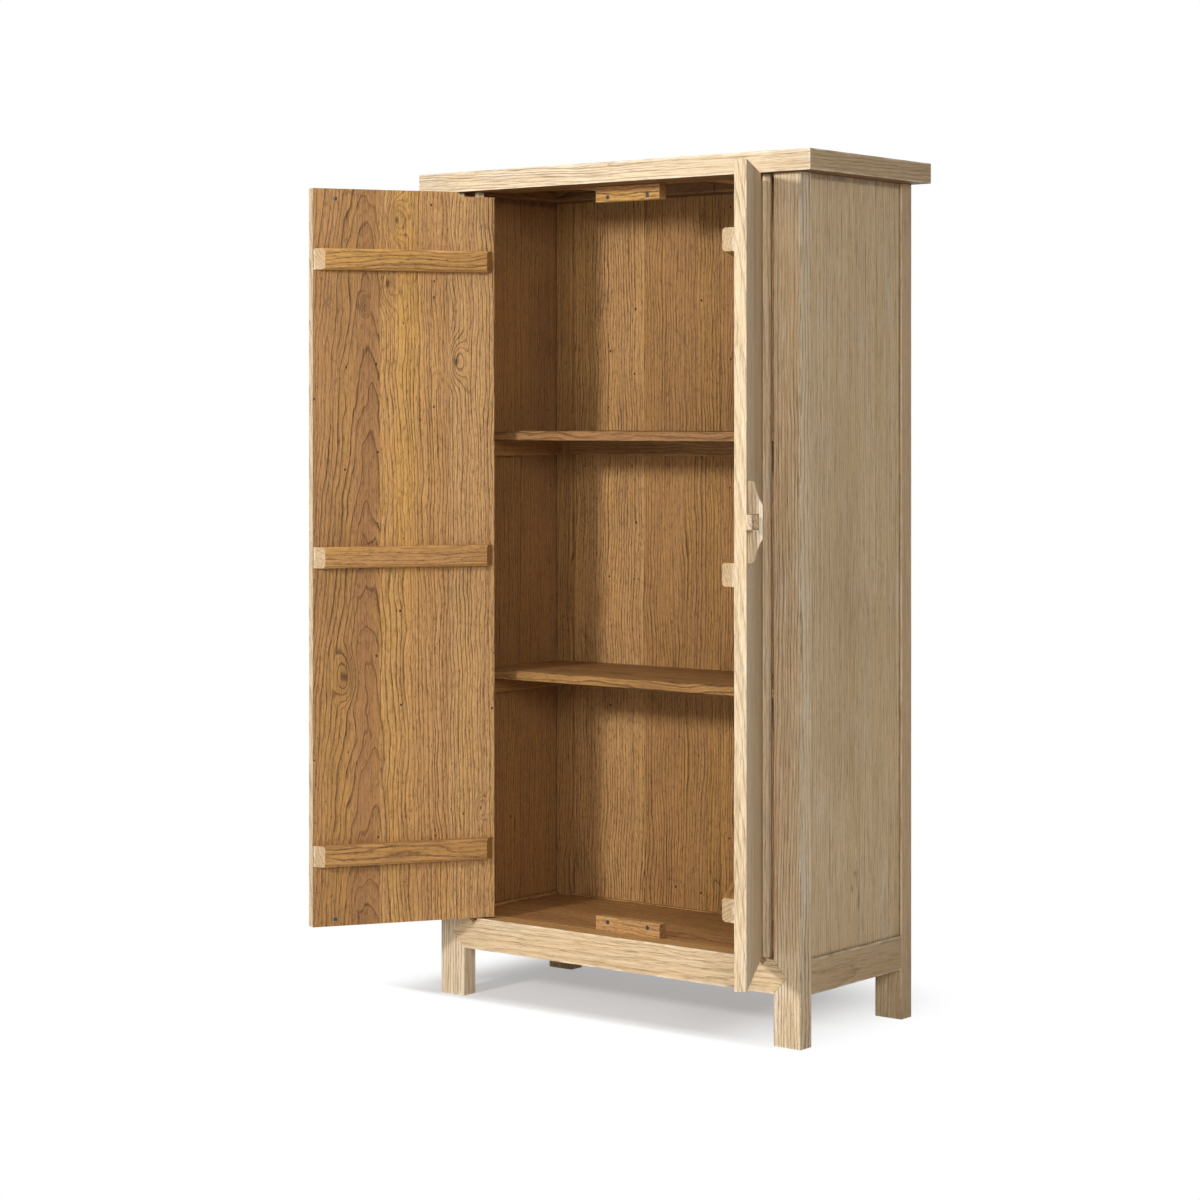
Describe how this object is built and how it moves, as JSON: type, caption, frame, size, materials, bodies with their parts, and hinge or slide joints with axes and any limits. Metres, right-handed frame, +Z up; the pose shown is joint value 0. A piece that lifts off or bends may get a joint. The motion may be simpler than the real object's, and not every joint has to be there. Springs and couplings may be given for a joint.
{
  "type": "storage cabinet",
  "caption": "Tall wooden storage cabinet on square legs with a framed top, battened pivot doors, shelves inside and a sliding wooden latch bolt.",
  "frame": {"origin": "on the floor, below the middle of the room the cabinet takes up with its doors open", "axes": "+X to the cabinet's right, +Y to its back, +Z up; the doors open towards -Y"},
  "size_m": [1.1819, 0.7568, 1.8],
  "materials": {
    "bleached_elm": "bleached, matte",
    "honey_elm": "oiled, satin",
    "grey_steel": "plain"
  },
  "bodies": {
    "cabinet": {"back_board_1": "honey_elm", "back_board_2": "honey_elm", "back_board_3": "honey_elm", "back_board_4": "honey_elm", "back_bottom_rail": "bleached_elm", "bottom_block_magnets": "grey_steel", "bottom_stop_block": "honey_elm", "floor_batten_left": "honey_elm", "floor_batten_right": "honey_elm", "floor_panel": "honey_elm", "front_bottom_rail": "bleached_elm", "left_bottom_rail": "bleached_elm", "left_side_panel": "bleached_elm", "lower_shelf": "honey_elm", "lower_shelf_back_cleat": "honey_elm", "lower_shelf_left_cleat": "honey_elm", "lower_shelf_right_cleat": "honey_elm", "post_back_left": "bleached_elm", "post_back_right": "bleached_elm", "post_front_left": "bleached_elm", "post_front_right": "bleached_elm", "right_bottom_rail": "bleached_elm", "right_side_panel": "bleached_elm", "stop_block_screws": "grey_steel", "top_back_member": "bleached_elm", "top_batten_left": "honey_elm", "top_batten_right": "honey_elm", "top_block_magnets": "grey_steel", "top_front_member": "bleached_elm", "top_left_member": "bleached_elm", "top_panel": "bleached_elm", "top_right_member": "bleached_elm", "top_stop_block": "honey_elm", "upper_shelf": "honey_elm", "upper_shelf_back_cleat": "honey_elm", "upper_shelf_left_cleat": "honey_elm", "upper_shelf_right_cleat": "honey_elm"},
    "door_left": {"left_door_free_board": "bleached_elm", "left_door_hinge_board": "bleached_elm", "left_door_lower_batten": "honey_elm", "left_door_middle_batten": "honey_elm", "left_door_middle_board": "bleached_elm", "left_door_pivot_bar": "bleached_elm", "left_door_pull": "bleached_elm", "left_door_strike_discs": "grey_steel", "left_door_upper_batten": "honey_elm"},
    "door_right": {"right_door_free_board": "bleached_elm", "right_door_hinge_board": "bleached_elm", "right_door_lower_batten": "honey_elm", "right_door_middle_batten": "honey_elm", "right_door_middle_board": "bleached_elm", "right_door_pivot_bar": "bleached_elm", "right_door_pull": "bleached_elm", "right_door_strike_discs": "grey_steel", "right_door_upper_batten": "honey_elm"},
    "latch": {"right_door_latch_bolt": "bleached_elm"}
  },
  "joints": [
    {"name": "left_door_hinge", "type": "hinge", "parent": "cabinet", "child": "door_left", "pos_m": [-0.384, -0.031, 0.966], "axis": [0, 0, 1], "range_deg": [-32.5, 122.5]},
    {"name": "right_door_hinge", "type": "hinge", "parent": "cabinet", "child": "door_right", "pos_m": [0.384, -0.031, 0.966], "axis": [0, 0, 1], "range_deg": [-120.3, 34.7]},
    {"name": "latch_slide", "type": "slide", "parent": "door_right", "child": "latch", "axis": [0.5045, -0.8634, 0], "range_m": [-0.016, 0.024]}
  ]
}
